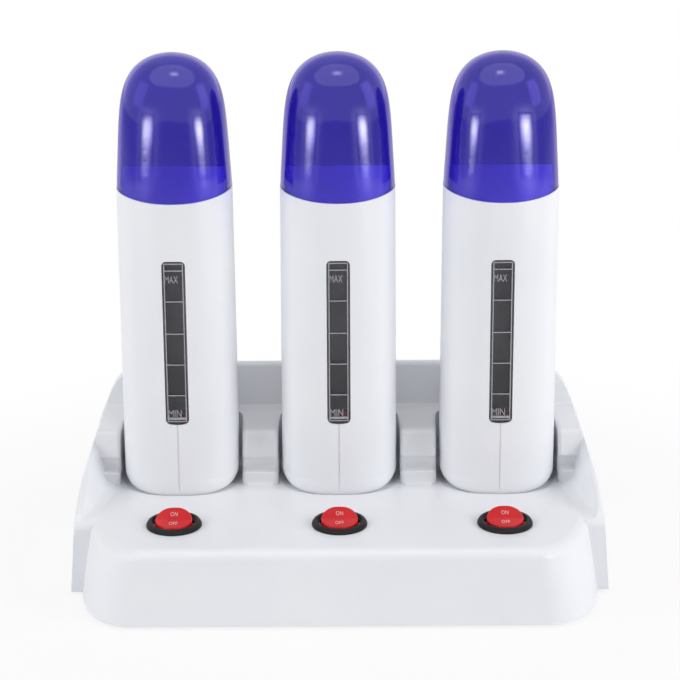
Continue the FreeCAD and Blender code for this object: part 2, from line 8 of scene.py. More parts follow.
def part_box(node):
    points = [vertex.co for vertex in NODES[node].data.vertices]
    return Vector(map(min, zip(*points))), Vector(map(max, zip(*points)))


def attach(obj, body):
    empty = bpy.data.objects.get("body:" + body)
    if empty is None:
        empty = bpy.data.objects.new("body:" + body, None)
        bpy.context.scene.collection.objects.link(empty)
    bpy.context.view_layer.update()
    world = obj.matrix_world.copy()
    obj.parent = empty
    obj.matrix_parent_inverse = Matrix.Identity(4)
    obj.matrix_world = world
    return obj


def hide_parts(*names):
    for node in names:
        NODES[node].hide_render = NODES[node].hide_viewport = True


bl_info = {
    "name": "Roll-on wax heater",
    "version": (1, 0, 0),
    "blender": (4, 5, 0),
    "location": "3D View > Sidebar > Wax heater",
    "description": "Finishes, lettering and studio for a stand with three roll-on wax heaters",
    "category": "Object",
}

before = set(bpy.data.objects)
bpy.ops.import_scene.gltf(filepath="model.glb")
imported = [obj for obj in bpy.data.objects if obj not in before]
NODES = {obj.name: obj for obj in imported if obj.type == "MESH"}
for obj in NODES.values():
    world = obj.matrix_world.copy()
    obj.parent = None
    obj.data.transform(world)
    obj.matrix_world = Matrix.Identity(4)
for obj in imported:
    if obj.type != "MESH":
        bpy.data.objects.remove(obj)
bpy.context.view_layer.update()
HEATERS = (1, 2, 3)

# ---- measures that the fitted pieces share with the housing, in millimetres -------------
MM = 0.001
ROCKER_R = 8.8          # rocker disc
ROCKER_SLOPE = 6.6      # slope of each half, degrees
ROCKER_TILT = 13.4      # its tip towards OFF at rest, degrees
ROCKER_TOP = 4.4        # valley line above the pivot
ROCKER_LOW = -3.4       # underside at the rim, from the pivot
ROCKER_TURN = 9.75      # the disc's rim keeps within this distance of the pivot line
ROCKER_UNDER = 0.6      # width of the flat ring on the underside
VALLEY_R = 6.0          # rounding of the valley between the halves
PIVOT_R = 1.5           # pivot pins: radius, tip from the middle, length of the pin
PIVOT_REACH = 10.3
PIVOT_LONG = 2.0
PIVOT_DROP = 0.9        # pivot below the deck
DECK_Z = 38.0
SWITCH_WORDS = (("ON", 3.6, 3.4), ("OFF", -3.8, 4.0))     # middle from the valley, width
SWITCH_THIN = 0.014     # how far the outlines of ON and OFF are drawn in, font size 1
PANE_WAY = 0.6          # window pane behind the casing's skin
CASE_FRONT = (27.0, 3.5 / 151.0)    # casing depth in front of its axis, and its draft
CASE_HALF = 28.6        # half its width beside the window
CASE_OVAL = 2.5         # power of its flat oval plan
HEATER_Z = 37.3
PANE_WORDS = (("MAX", 111.7), ("MIN", 43.4))    # word and height of its middle in the heater
PANE_WORD_EDGE = 4.2    # left edge of both words from the window's middle
RIB_WAY = 0.15          # tops of the window's raised lines behind the casing's skin
RIB_FRAME = (4.5, 39.4, 119.6)      # middle of the raised frame: half width, low and high end
RIB_LEVELS = (116.2, 100.7, 84.4, 68.6, 52.8)      # heights of the level lines
RIB_SILL = (40.3, 41.5)             # frosted sill under the chamber: low and high edge

# ---- measures of the studio, in metres and degrees --------------------------------------
HEATERS_Y = 0.025           # the heaters' axes behind the middle of the base
AIM = (0.0, HEATERS_Y, 0.13)
STRIP_AIM = (0.0, HEATERS_Y, 0.22)
STRIP_WAY, STRIP_Z = 0.8, 0.185
STRIP_SIDES = ((-41, "left", 1.0), (38, "right", 1.35))     # turn from the front, share of power
STRIP_SHEETS = (("strip_", 0.4, 0.16, 1.0), ("halo_", 0.8, 0.36, 0.6))      # width, height, share
SIDE_TURN, SIDE_WAY, SIDE_Z, SIDE_SIZE = 70, 1.5, 0.75, 0.8
OVERHEAD, OVERHEAD_SIZE = (0.0, 0.35, 1.6), (1.3, 1.0)
CANOPY, CANOPY_SIZE = (0.0, -0.7, 1.6), (2.5, 1.9)
CANOPY_SPOT, CANOPY_SPOT_SIZE, CANOPY_SPOT_SHARE = (0.0, -0.68, 1.55), 0.5, 0.4
FLOOR_FADE = (0.14, 0.36)   # the board starts to run out into white, and has run out
FLOOR_LEAST = 0.8           # share of white before it does
CAMERA_WAY, CAMERA_HIGH, CAMERA_ROLL = 1.03185, 17.69, -0.32
CAMERA_AIM = (0.000806, HEATERS_Y, 0.12776)
CAMERA_SHIFT = -0.0503


# ---- colours and nodes ------------------------------------------------------------------
def linear(hexcode):
    """sRGB hex value as linear RGBA."""
    values = [int(hexcode.lstrip("#")[k:k + 2], 16) / 255 for k in (0, 2, 4)]
    return tuple(v / 12.92 if v <= 0.04045 else ((v + 0.055) / 1.055) ** 2.4
                 for v in values) + (1.0,)


def per_mm(size):
    """Texture scale at which the largest waves are size millimetres long."""
    return 1000.0 / size


def add(tree, kind, inputs=(), **settings):
    """Adds a node, gives it its settings, and sets or links its inputs."""
    made = tree.nodes.new(kind)
    for key, value in settings.items():
        setattr(made, key, value)
    for key, value in dict(inputs).items():
        if isinstance(value, bpy.types.NodeSocket):
            tree.links.new(value, made.inputs[key])
        else:
            made.inputs[key].default_value = value
    return made


def skin(name, colours, drift, gloss, grain, depth, stretch=(1, 1, 1), detail=3.0, **shader):
    """A finish whose colour drifts slowly and whose gloss and surface follow a fine grain.

    drift and grain are wave lengths and depth is the grain's height, all in millimetres.
    """
    finish = bpy.data.materials.new(name)
    finish.use_nodes = True
    tree = finish.node_tree
    tree.nodes.clear()
    place = add(tree, "ShaderNodeTexCoord").outputs["Object"]
    along = add(tree, "ShaderNodeMapping", {"Vector": place, "Scale": stretch}).outputs[0]
    slow = add(tree, "ShaderNodeTexNoise", {"Vector": along, "Scale": per_mm(drift), "Detail": 2.0})
    fine = add(tree, "ShaderNodeTexNoise", {"Vector": along, "Scale": per_mm(grain), "Detail": detail})
    part = add(tree, "ShaderNodeMapRange", {
        "Value": slow.outputs["Fac"], "From Min": 0.35, "From Max": 0.65}).outputs[0]
    rough = add(tree, "ShaderNodeMapRange", {
        "Value": fine.outputs["Fac"], "From Min": 0.3, "From Max": 0.7,
        "To Min": gloss[0], "To Max": gloss[1]}).outputs[0]
    colour = add(tree, "ShaderNodeMix", data_type="RGBA")
    tree.links.new(part, colour.inputs[0])
    colour.inputs[6].default_value = linear(colours[0])
    colour.inputs[7].default_value = linear(colours[1])
    bump = add(tree, "ShaderNodeBump", {"Height": fine.outputs["Fac"], "Distance": depth * MM})
    inputs = {"Base Color": colour.outputs[2], "Roughness": rough, "Normal": bump.outputs[0]}
    inputs.update({key.replace("_", " "): value for key, value in shader.items()})
    body = add(tree, "ShaderNodeBsdfPrincipled", inputs)
    add(tree, "ShaderNodeOutputMaterial", {"Surface": body.outputs[0]})
    return finish


def see_through(finish, tint):
    """Lets the lamps' light straight through a clear wall, tinted by it."""
    tree = finish.node_tree
    out = next(n for n in tree.nodes if n.type == "OUTPUT_MATERIAL")
    body = out.inputs["Surface"].links[0].from_socket
    ray = add(tree, "ShaderNodeLightPath")
    clear = add(tree, "ShaderNodeBsdfTransparent", {"Color": linear(tint)})
    mix = add(tree, "ShaderNodeMixShader", {
        0: ray.outputs["Is Shadow Ray"], 1: body, 2: clear.outputs[0]})
    tree.links.new(mix.outputs[0], out.inputs["Surface"])


def dress(finish, *nodes):
    """Gives CAD nodes their finish."""
    for node in nodes:
        for place in NODES[node].material_slots:
            place.material = finish


def of_heaters(*names):
    return ["heater_%d_%s" % (n, name) for n in HEATERS for name in names]


def finish_of(name):
    return bpy.data.materials[name]


# ---- shapes -----------------------------------------------------------------------------
def piece(name, mesh, finish, body):
    """Puts a mesh into the scene, finished and riding on its body."""
    made = bpy.data.objects.new(name, mesh)
    bpy.context.scene.collection.objects.link(made)
    made.data.materials.clear()
    made.data.materials.append(finish)
    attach(made, body)
    return made


def word_mesh(word, height, width, thickness, thin=0.0):
    """Flat raised letters, centred on the origin, in metres; thin slims the strokes."""
    curve = bpy.data.curves.new(word, "FONT")
    curve.body = word
    curve.align_x = "CENTER"
    curve.resolution_u = 4
    curve.offset = -thin
    holder = bpy.data.objects.new(word, curve)
    bpy.context.scene.collection.objects.link(holder)
    bpy.context.view_layer.update()
    mesh = bpy.data.meshes.new_from_object(holder)
    bpy.data.objects.remove(holder)
    bpy.data.curves.remove(curve)
    build = bmesh.new()
    build.from_mesh(mesh)
    bmesh.ops.remove_doubles(build, verts=build.verts, dist=1e-5)
    xs = [v.co.x for v in build.verts]
    ys = [v.co.y for v in build.verts]
    scale_x = width / (max(xs) - min(xs))
    scale_y = height / (max(ys) - min(ys))
    for v in build.verts:
        v.co.x = (v.co.x - (max(xs) + min(xs)) / 2) * scale_x
        v.co.y = (v.co.y - (max(ys) + min(ys)) / 2) * scale_y
        v.co.z = 0.0
    raised = bmesh.ops.extrude_face_region(build, geom=build.faces[:])
    for v in raised["geom"]:
        if isinstance(v, bmesh.types.BMVert):
            v.co.z += thickness
    bmesh.ops.recalc_face_normals(build, faces=build.faces[:])
    build.to_mesh(mesh)
    build.free()
    mesh.name = word
    return mesh


def case_front(x, z):
    """Depth of the casing's front before its axis, at x from its middle and height z, mm."""
    depth = CASE_FRONT[0] - CASE_FRONT[1] * z
    return depth * (1 - abs(x / CASE_HALF) ** CASE_OVAL) ** (1 / CASE_OVAL)


def rib_mesh(width, thickness):
    """Frosted tops of the window's raised frame, level lines and sill; measures in mm."""
    half, low, high = RIB_FRAME
    w = width / 2
    bars = [(-half - w, half + w, z - w, z + w) for z in (low, high)]
    bars += [(x - w, x + w, low + w, high - w) for x in (-half, half)]
    bars += [(-half + w, half - w, z - w, z + w) for z in RIB_LEVELS]
    bars.append((-half + w, half - w) + RIB_SILL)
    build = bmesh.new()
    for x0, x1, z0, z1 in bars:
        grid = []
        for x in (x0, (x0 + x1) / 2, x1):
            for z in (z0, z1):
                y = RIB_WAY - case_front(x, z)
                grid.append([build.verts.new((x * MM, (y - out) * MM, z * MM))
                             for out in (thickness, 0.0)])
        for k in (0, 2):
            (a, ab), (b, bb), (c, cb), (d, db) = grid[k:k + 4]
            build.faces.new((a, c, d, b))
            build.faces.new((ab, bb, db, cb))
            build.faces.new((a, ab, cb, c))
            build.faces.new((b, d, db, bb))
        for (a, ab), (b, bb) in (grid[0:2], grid[4:6]):
            build.faces.new((a, b, bb, ab))
    bmesh.ops.recalc_face_normals(build, faces=build.faces[:])
    mesh = bpy.data.meshes.new("ribs")
    build.to_mesh(mesh)
    build.free()
    return mesh


def rocker_height(y):
    """Height of the two faces above the pivot at y from the valley line, mm."""
    slope = math.radians(ROCKER_SLOPE)
    if abs(y) < VALLEY_R * math.sin(slope):
        z = ROCKER_TOP + VALLEY_R / math.cos(slope) - math.sqrt(VALLEY_R ** 2 - y * y)
    else:
        z = ROCKER_TOP + abs(y) * math.tan(slope)
    return min(z, math.sqrt(max(ROCKER_TURN ** 2 - y * y, 0.0)))


def rocker_mesh(edge):
    """Round rocker with a shallow valley, a softened rim and its two pivots."""
    build = bmesh.new()
    turns = 72
    rings = []
    flat = 14
    profile = [((ROCKER_R - edge) * k / flat, 0.0) for k in range(1, flat + 1)]
    profile += [(ROCKER_R - edge + edge * math.sin(a), edge * (1 - math.cos(a)))
                for a in (math.radians(15 * k) for k in range(1, 7))]
    for r, drop in profile:
        ring = []
        for k in range(turns):
            a = 2 * math.pi * k / turns
            x, y = r * math.cos(a), r * math.sin(a)
            ring.append(build.verts.new((x * MM, y * MM, (rocker_height(y) - drop) * MM)))
        rings.append(ring)
    for r in (ROCKER_R, ROCKER_R - ROCKER_UNDER):
        rings.append([build.verts.new((r * math.cos(a) * MM, r * math.sin(a) * MM, ROCKER_LOW * MM))
                      for a in (2 * math.pi * k / turns for k in range(turns))])
    for one, other in zip(rings, rings[1:]):
        for k in range(turns):
            build.faces.new((one[k], other[k], other[k - 1], one[k - 1]))
    top = build.verts.new((0, 0, rocker_height(0) * MM))
    low = build.verts.new((0, 0, ROCKER_LOW * MM))
    for k in range(turns):
        build.faces.new((top, rings[0][k], rings[0][k - 1]))
        build.faces.new((low, rings[-1][k - 1], rings[-1][k]))
    for side in (-1, 1):
        where = Matrix.Translation((side * (PIVOT_REACH - PIVOT_LONG / 2) * MM, 0, 0))
        turn = Matrix.Rotation(math.radians(90), 4, "Y")
        bmesh.ops.create_cone(build, cap_ends=True, segments=24, radius1=PIVOT_R * MM,
                              radius2=PIVOT_R * MM, depth=PIVOT_LONG * MM, matrix=where @ turn)
    bmesh.ops.recalc_face_normals(build, faces=build.faces[:])
    for face in build.faces:
        face.smooth = True
    for e in build.edges:
        if len(e.link_faces) == 2 and e.calc_face_angle() > math.radians(40):
            e.smooth = False
    mesh = bpy.data.meshes.new("rocker")
    build.to_mesh(mesh)
    build.free()
    return mesh


# ---- what a user may change -------------------------------------------------------------
def colour(name, description, default):
    return StringProperty(name=name, description=description, default=default)


class WaxHeaterColours(bpy.types.PropertyGroup):
    white: colour("White", "Casings and base, sRGB hex", "#EDEEF2")
    white_deep: colour("White, deep", "Darker drift of the white, sRGB hex", "#E9EBF0")
    plate: colour("Bottom plate", "Bottom plate, sRGB hex", "#D6D8DC")
    cap: colour("Cap", "Tint of the caps' plastic, sRGB hex", "#6656C8")
    cap_deep: colour("Cap, deep", "Darker drift of the caps, sRGB hex", "#6252C2")
    rocker: colour("Rocker", "Rocker switches, sRGB hex", "#D61216")
    rocker_deep: colour("Rocker, deep", "Darker drift of the rockers, sRGB hex", "#CA0E13")
    bezel: colour("Bezel", "Switch frames, sRGB hex", "#0E0E0F")
    pane: colour("Window", "Smoke tint of the windows, sRGB hex", "#BDBCC2")
    pane_deep: colour("Window, deep", "Darker drift of the windows, sRGB hex", "#B4B3BA")
    lamp: colour("Lamp", "Lens of the heating lamp, sRGB hex", "#B81838")


class WaxHeaterSizes(bpy.types.PropertyGroup):
    rocker_edge: FloatProperty(
        name="Rocker edge", description="Radius of the rocker's rim", default=0.0006,
        unit="LENGTH", precision=5)
    word_height: FloatProperty(
        name="Switch letters", description="Height of ON and OFF", default=0.0027,
        unit="LENGTH", precision=5)
    ink: FloatProperty(
        name="Ink thickness", description="Thickness of the printed letters", default=0.00005,
        unit="LENGTH", precision=6)
    mark_height: FloatProperty(
        name="Window letters", description="Height of MAX and MIN", default=0.0036,
        unit="LENGTH", precision=5)
    rib_width: FloatProperty(
        name="Window lines", description="Width of the windows' frosted lines", default=0.0005,
        unit="LENGTH", precision=5)
    mark_width: FloatProperty(
        name="Window letter width", description="Width of one letter with its gap",
        default=0.0021, unit="LENGTH", precision=5)


class WaxHeaterStudio(bpy.types.PropertyGroup):
    floor: colour("Floor", "Floor, sRGB hex", "#F4F4F5")
    floor_radius: FloatProperty(
        name="Floor radius", description="Radius of the round floor", default=9.0,
        unit="LENGTH")
    lens: FloatProperty(
        name="Lens", description="Focal length of the camera, mm", default=110.0)
    sky: FloatProperty(
        name="Sky", description="Strength of the even light from all round", default=0.43)
    strips: FloatProperty(
        name="Strip lamps", description="Power of the small left strip near the front, W", default=3.1)
    left: FloatProperty(
        name="Left lamp", description="Power of the large soft lamp on the left, W", default=10.2)
    right: FloatProperty(
        name="Right lamp", description="Power of the large soft lamp on the right, W",
        default=13.2)
    overhead: FloatProperty(
        name="Overhead lamp", description="Power of the soft lamp above, W", default=3.8)
    canopy: FloatProperty(
        name="Canopy", description="Power of the wide sheet above that the gloss shows, W",
        default=10.0)


# ---- finishes ---------------------------------------------------------------------------
class WAXHEATER_OT_finishes(bpy.types.Operator):
    """Makes the finishes that the pieces share"""
    bl_idname = "waxheater.finishes"
    bl_label = "Make finishes"

    def execute(self, context):
        c = context.scene.waxheater_colours
        # ABS moulded in a polished tool: an even gloss with a faint waviness where the melt
        # cooled, so highlights are soft-edged and never quite straight.
        skin("abs_moulded_polished_white", (c.white, c.white_deep), 60, (0.29, 0.33), 26, 0.006,
             detail=0.0, IOR=1.53)
        # ABS moulded in a spark-eroded tool: a fine pebble that scatters the light. The real
        # pebble is 0.1 mm; it is drawn at 0.7 mm so that it shows.
        skin("abs_moulded_spark_eroded", (c.plate, "#CFD1D6"), 40, (0.5, 0.62), 0.7, 0.05,
             IOR=1.53)
        # Moulded thermoplastic rubber: matt, with a bloom that lightens it in patches.
        skin("rubber_moulded_matt", ("#2B2B2D", "#3A3A3D"), 5, (0.7, 0.85), 0.9, 0.06, IOR=1.52)
        # Zinc-plated steel, rolled and headed: bluish silver with a dull, cloudy gloss.
        skin("steel_zinc_plated", ("#B9BBBC", "#A9ACB0"), 1.5, (0.29, 0.45), 0.6, 0.01,
             Metallic=1.0)
        # Glass-filled nylon, moulded: fibres near the surface give a slightly mottled sheen.
        skin("nylon_glass_filled_black", (c.bezel, "#141415"), 4, (0.4, 0.5), 1.1, 0.02,
             IOR=1.53, Specular_IOR_Level=0.2)
        # Polycarbonate moulded in a polished tool: a clear skin over pigment, so the colour
        # glows a little at the edges.
        skin("polycarbonate_moulded_red", (c.rocker, c.rocker_deep), 6, (0.29, 0.34), 2.5, 0.006,
             IOR=1.58, Specular_IOR_Level=0.3, Subsurface_Weight=0.15,
             Subsurface_Radius=(0.0012, 0.0003, 0.0003), Subsurface_Scale=1.0)
        # Phenolic moulding: dead matt black with a trace of flow marks.
        skin("phenolic_moulded_black", ("#1B1B1D", "#242426"), 6, (0.45, 0.6), 1.2, 0.03,
             IOR=1.55)
        # Brass, stamped and bright-dipped: warm yellow with drawing lines along the pin.
        skin("brass_stamped_bright", ("#D9B25E", "#C79D48"), 3, (0.18, 0.26), 0.6, 0.008,
             (3, 3, 0.3), Metallic=1.0)
        # PVC extruded over copper: satin, smooth along the lead.
        skin("pvc_extruded_black", ("#1A1A1D", "#222226"), 8, (0.4, 0.5), 1.5, 0.02, IOR=1.53)
        # Natural nylon, moulded: milky and faintly yellow.
        skin("nylon_moulded_natural", ("#E4DFCF", "#DAD4C0"), 9, (0.38, 0.5), 1.4, 0.02,
             IOR=1.53, Subsurface_Weight=0.2, Subsurface_Radius=(0.002, 0.002, 0.0015),
             Subsurface_Scale=1.0)
        # PBT moulding, white: the heat-proof ring in which the cartridge stands.
        skin("pbt_moulded_white", ("#F1F2F5", "#ECEDF1"), 20, (0.35, 0.45), 3.0, 0.01, IOR=1.55)
        # Aluminium, deep-drawn and anodised: pale grey with faint vertical drawing lines.
        skin("aluminium_drawn_anodised", ("#A9ABAE", "#96989C"), 12, (0.35, 0.5), 1.0, 0.02,
             (1, 1, 0.06), Metallic=1.0)
        # Aluminium, extruded: long fine die lines.
        skin("aluminium_extruded", ("#B2B4B6", "#9EA0A3"), 10, (0.3, 0.45), 0.8, 0.02,
             (1, 1, 0.03), Metallic=1.0)
        # Steel can, pressed: brighter than the aluminium, with small handling marks.
        skin("steel_pressed_bright", ("#A4A5A6", "#919395"), 3, (0.29, 0.4), 0.8, 0.012,
             Metallic=1.0)
        # Polycarbonate, moulded clear and tinted red: dark until it is lit from behind.
        skin("polycarbonate_moulded_lens", (c.lamp, "#A81230"), 3, (0.12, 0.2), 1.0, 0.005,
             IOR=1.58, Transmission_Weight=0.2)
        # Acrylic, moulded in smoke grey: a clear pane with a glassy skin.
        pane = skin("acrylic_moulded_smoke", (c.pane, c.pane_deep), 8, (0.06, 0.12), 2.0, 0.004,
                    IOR=1.49, Transmission_Weight=1.0)
        see_through(pane, c.pane)
        # Styrene-acrylonitrile, moulded in a mirror-polished tool and tinted blue-violet: the
        # tint is deep where two walls lie behind each other and light over the white neck.
        cap = skin("san_moulded_clear_violet", (c.cap, c.cap_deep), 50, (0.045, 0.08), 18, 0.006,
                   detail=0.0, IOR=1.5, Transmission_Weight=1.0, Specular_IOR_Level=0.15)
        see_through(cap, "#D8D4FF")
        # Pad-printing ink: a thin, slightly uneven white film.
        skin("ink_pad_printed_white", ("#F0E0E0", "#E4CFCF"), 0.8, (0.4, 0.55), 0.4, 0.01,
             IOR=1.5)
        # Raised letters moulded with the pane: frosted, so that they catch the light.
        skin("acrylic_moulded_frosted", ("#A6A6AB", "#98989E"), 1.5, (0.45, 0.6), 0.5, 0.02,
             IOR=1.49)
        return {"FINISHED"}


# ---- pieces -----------------------------------------------------------------------------
class WAXHEATER_OT_base(bpy.types.Operator):
    """Finishes the base: its shell, bottom plate, feet and screws"""
    bl_idname = "waxheater.base"
    bl_label = "Base"

    def execute(self, context):
        dress(finish_of("abs_moulded_polished_white"), "base_top_shell")
        dress(finish_of("abs_moulded_spark_eroded"), "base_bottom_plate")
        dress(finish_of("rubber_moulded_matt"), "base_feet")
        dress(finish_of("steel_zinc_plated"), "base_screws")
        return {"FINISHED"}


class WAXHEATER_OT_supply(bpy.types.Operator):
    """Finishes the mains inlet, the dock contacts and the leads between them"""
    bl_idname = "waxheater.supply"
    bl_label = "Supply"

    def execute(self, context):
        dress(finish_of("phenolic_moulded_black"), "base_inlet_housing",
              *["dock_block_%d" % n for n in HEATERS])
        dress(finish_of("brass_stamped_bright"), "base_inlet_pins", "dock_pins",
              "switch_terminals")
        dress(finish_of("pvc_extruded_black"), "base_wires")
        dress(finish_of("nylon_moulded_natural"), "base_terminal_block")
        return {"FINISHED"}


class WAXHEATER_OT_switches(bpy.types.Operator):
    """Finishes the switch frames and fits the red rockers with their words"""
    bl_idname = "waxheater.switches"
    bl_label = "Switches"

    def execute(self, context):
        sizes = context.scene.waxheater_sizes
        dress(finish_of("nylon_glass_filled_black"), *["switch_body_%d" % n for n in HEATERS])
        dress(finish_of("polycarbonate_moulded_red"), *["switch_rocker_%d" % n for n in HEATERS])
        tip = Matrix.Rotation(math.radians(ROCKER_TILT), 4, "X")
        for n in HEATERS:
            low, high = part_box("switch_body_%d" % n)
            pivot = Vector(((low.x + high.x) / 2, (low.y + high.y) / 2,
                            (DECK_Z - PIVOT_DROP) * MM))
            at_pivot = Matrix.Translation(pivot) @ tip
            red = piece("rocker_%d_cap" % n, rocker_mesh(sizes.rocker_edge / MM),
                        finish_of("polycarbonate_moulded_red"), "rocker_%d" % n)
            red.data.transform(at_pivot)
            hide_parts("switch_rocker_%d" % n)
            for word, middle, width in SWITCH_WORDS:
                mesh = word_mesh(word, sizes.word_height, width * MM, sizes.ink, SWITCH_THIN)
                place = Matrix.Translation((0, middle * MM, rocker_height(middle) * MM))
                lean = Matrix.Rotation(math.copysign(math.radians(ROCKER_SLOPE), middle), 4, "X")
                mesh.transform(at_pivot @ place @ lean)
                piece("rocker_%d_word_%s" % (n, word.lower()), mesh,
                      finish_of("ink_pad_printed_white"), "rocker_%d" % n)
        return {"FINISHED"}


class WAXHEATER_OT_casings(bpy.types.Operator):
    """Finishes the heaters' casings and their screws"""
    bl_idname = "waxheater.casings"
    bl_label = "Casings"

    def execute(self, context):
        dress(finish_of("abs_moulded_polished_white"), *of_heaters("casing_left", "casing_right"))
        dress(finish_of("steel_zinc_plated"), *of_heaters("screw"))
        return {"FINISHED"}


class WAXHEATER_OT_windows(bpy.types.Operator):
    """Finishes the level windows and gives them their MAX and MIN marks"""
    bl_idname = "waxheater.windows"
    bl_label = "Windows"

    def execute(self, context):
        sizes = context.scene.waxheater_sizes
        dress(finish_of("acrylic_moulded_smoke"), *of_heaters("window"))
        upright = Matrix.Rotation(math.radians(90) - math.atan(CASE_FRONT[1]), 4, "X")
        for n in HEATERS:
            low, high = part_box("heater_%d_socket" % n)
            axis_x, axis_y = (low.x + high.x) / 2, (low.y + high.y) / 2
            ribs = rib_mesh(sizes.rib_width / MM, sizes.ink / MM)
            ribs.transform(Matrix.Translation((axis_x, axis_y, HEATER_Z * MM)))
            piece("heater_%d_level_lines" % n, ribs, finish_of("acrylic_moulded_frosted"),
                  "heater_%d" % n)
            for word, height in PANE_WORDS:
                width = sizes.mark_width * len(word)
                mesh = word_mesh(word, sizes.mark_height, width, sizes.ink)
                front = (case_front(0, height) - PANE_WAY) * MM
                place = Matrix.Translation((axis_x + width / 2 - PANE_WORD_EDGE * MM, axis_y - front,
                                            (HEATER_Z + height) * MM))
                mesh.transform(place @ upright)
                piece("heater_%d_mark_%s" % (n, word.lower()), mesh,
                      finish_of("acrylic_moulded_frosted"), "heater_%d" % n)
        return {"FINISHED"}


class WAXHEATER_OT_insides(bpy.types.Operator):
    """Finishes what is inside the heaters: neck, chamber, heating parts and contacts"""
    bl_idname = "waxheater.insides"
    bl_label = "Heater insides"

    def execute(self, context):
        dress(finish_of("pbt_moulded_white"), *of_heaters("neck"))
        dress(finish_of("aluminium_drawn_anodised"), *of_heaters("chamber"))
        dress(finish_of("aluminium_extruded"), *of_heaters("heating_plate"))
        dress(finish_of("steel_pressed_bright"), *of_heaters("thermostat"))
        dress(finish_of("polycarbonate_moulded_lens"), *of_heaters("lamp"))
        dress(finish_of("phenolic_moulded_black"), *of_heaters("socket"))
        dress(finish_of("brass_stamped_bright"), *of_heaters("socket_sleeves"))
        dress(finish_of("pvc_extruded_black"), *of_heaters("wires"))
        return {"FINISHED"}


class WAXHEATER_OT_caps(bpy.types.Operator):
    """Finishes the translucent caps"""
    bl_idname = "waxheater.caps"
    bl_label = "Caps"

    def execute(self, context):
        dress(finish_of("san_moulded_clear_violet"), *of_heaters("cap"))
        return {"FINISHED"}


# ---- stage ------------------------------------------------------------------------------
def lamp(name, where, target, width, height, power, shape="RECTANGLE", soft=False,
         glossy=True, diffuse=True):
    """Flat lamp; a soft one fades towards its edges."""
    light = bpy.data.lights.new(name, "AREA")
    light.shape = shape
    light.size, light.size_y = width, height
    light.energy = power
    if soft:
        light.use_nodes = True
        tree = light.node_tree
        tree.nodes.clear()
        across = add(tree, "ShaderNodeVectorMath", {
            0: add(tree, "ShaderNodeNewGeometry").outputs["Parametric"], 1: (math.pi,) * 3},
            operation="MULTIPLY")
        wave = add(tree, "ShaderNodeVectorMath", {0: across.outputs[0]}, operation="SINE")
        axes = add(tree, "ShaderNodeSeparateXYZ", {0: wave.outputs[0]})
        both = add(tree, "ShaderNodeMath", {0: axes.outputs[0], 1: axes.outputs[1]},
                   operation="MULTIPLY")
        fade = add(tree, "ShaderNodeMath", {0: both.outputs[0], 1: 2.0}, operation="POWER")
        glow = add(tree, "ShaderNodeEmission", {"Strength": fade.outputs[0]})
        add(tree, "ShaderNodeOutputLight", {"Surface": glow.outputs[0]})
    made = bpy.data.objects.new(name, light)
    made.visible_glossy = glossy
    made.visible_diffuse = diffuse
    made.location = where
    made.rotation_euler = (Vector(target) - Vector(where)).to_track_quat("-Z", "Y").to_euler()
    bpy.context.scene.collection.objects.link(made)


def in_front(turn, way, z, middle=0.0):
    """Point at height z, way from the middle and turned from straight in front of it."""
    a = math.radians(turn)
    return way * math.sin(a), middle - way * math.cos(a), z


